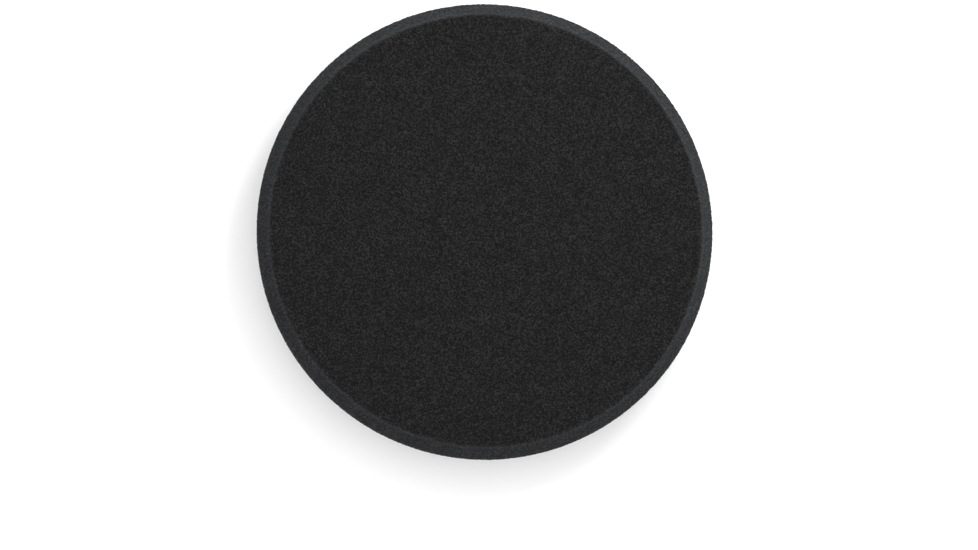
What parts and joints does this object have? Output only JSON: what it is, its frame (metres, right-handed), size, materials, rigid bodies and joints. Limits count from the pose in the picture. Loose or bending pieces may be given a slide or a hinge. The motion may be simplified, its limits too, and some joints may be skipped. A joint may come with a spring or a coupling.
{
  "type": "polishing pad",
  "caption": "Round foam polishing pad with a bevelled flat working face, an undercut rim and a hook-and-loop backing for a rotary or orbital polisher.",
  "frame": {"origin": "centre of the loop face, on the surface that the pad lies on", "axes": "+Z along the pad's axis, out of the working face; X and Y are equal, as the pad is round"},
  "size_m": [0.16, 0.16, 0.019],
  "materials": {
    "foam": "matte",
    "adhesive": "satin",
    "ground_cloth": "matte",
    "loops": "matte"
  },
  "bodies": {
    "root": {"foam_head": "foam", "adhesive_film": "adhesive", "loop_ground_cloth": "ground_cloth", "loop_pile": "loops"}
  },
  "joints": []
}
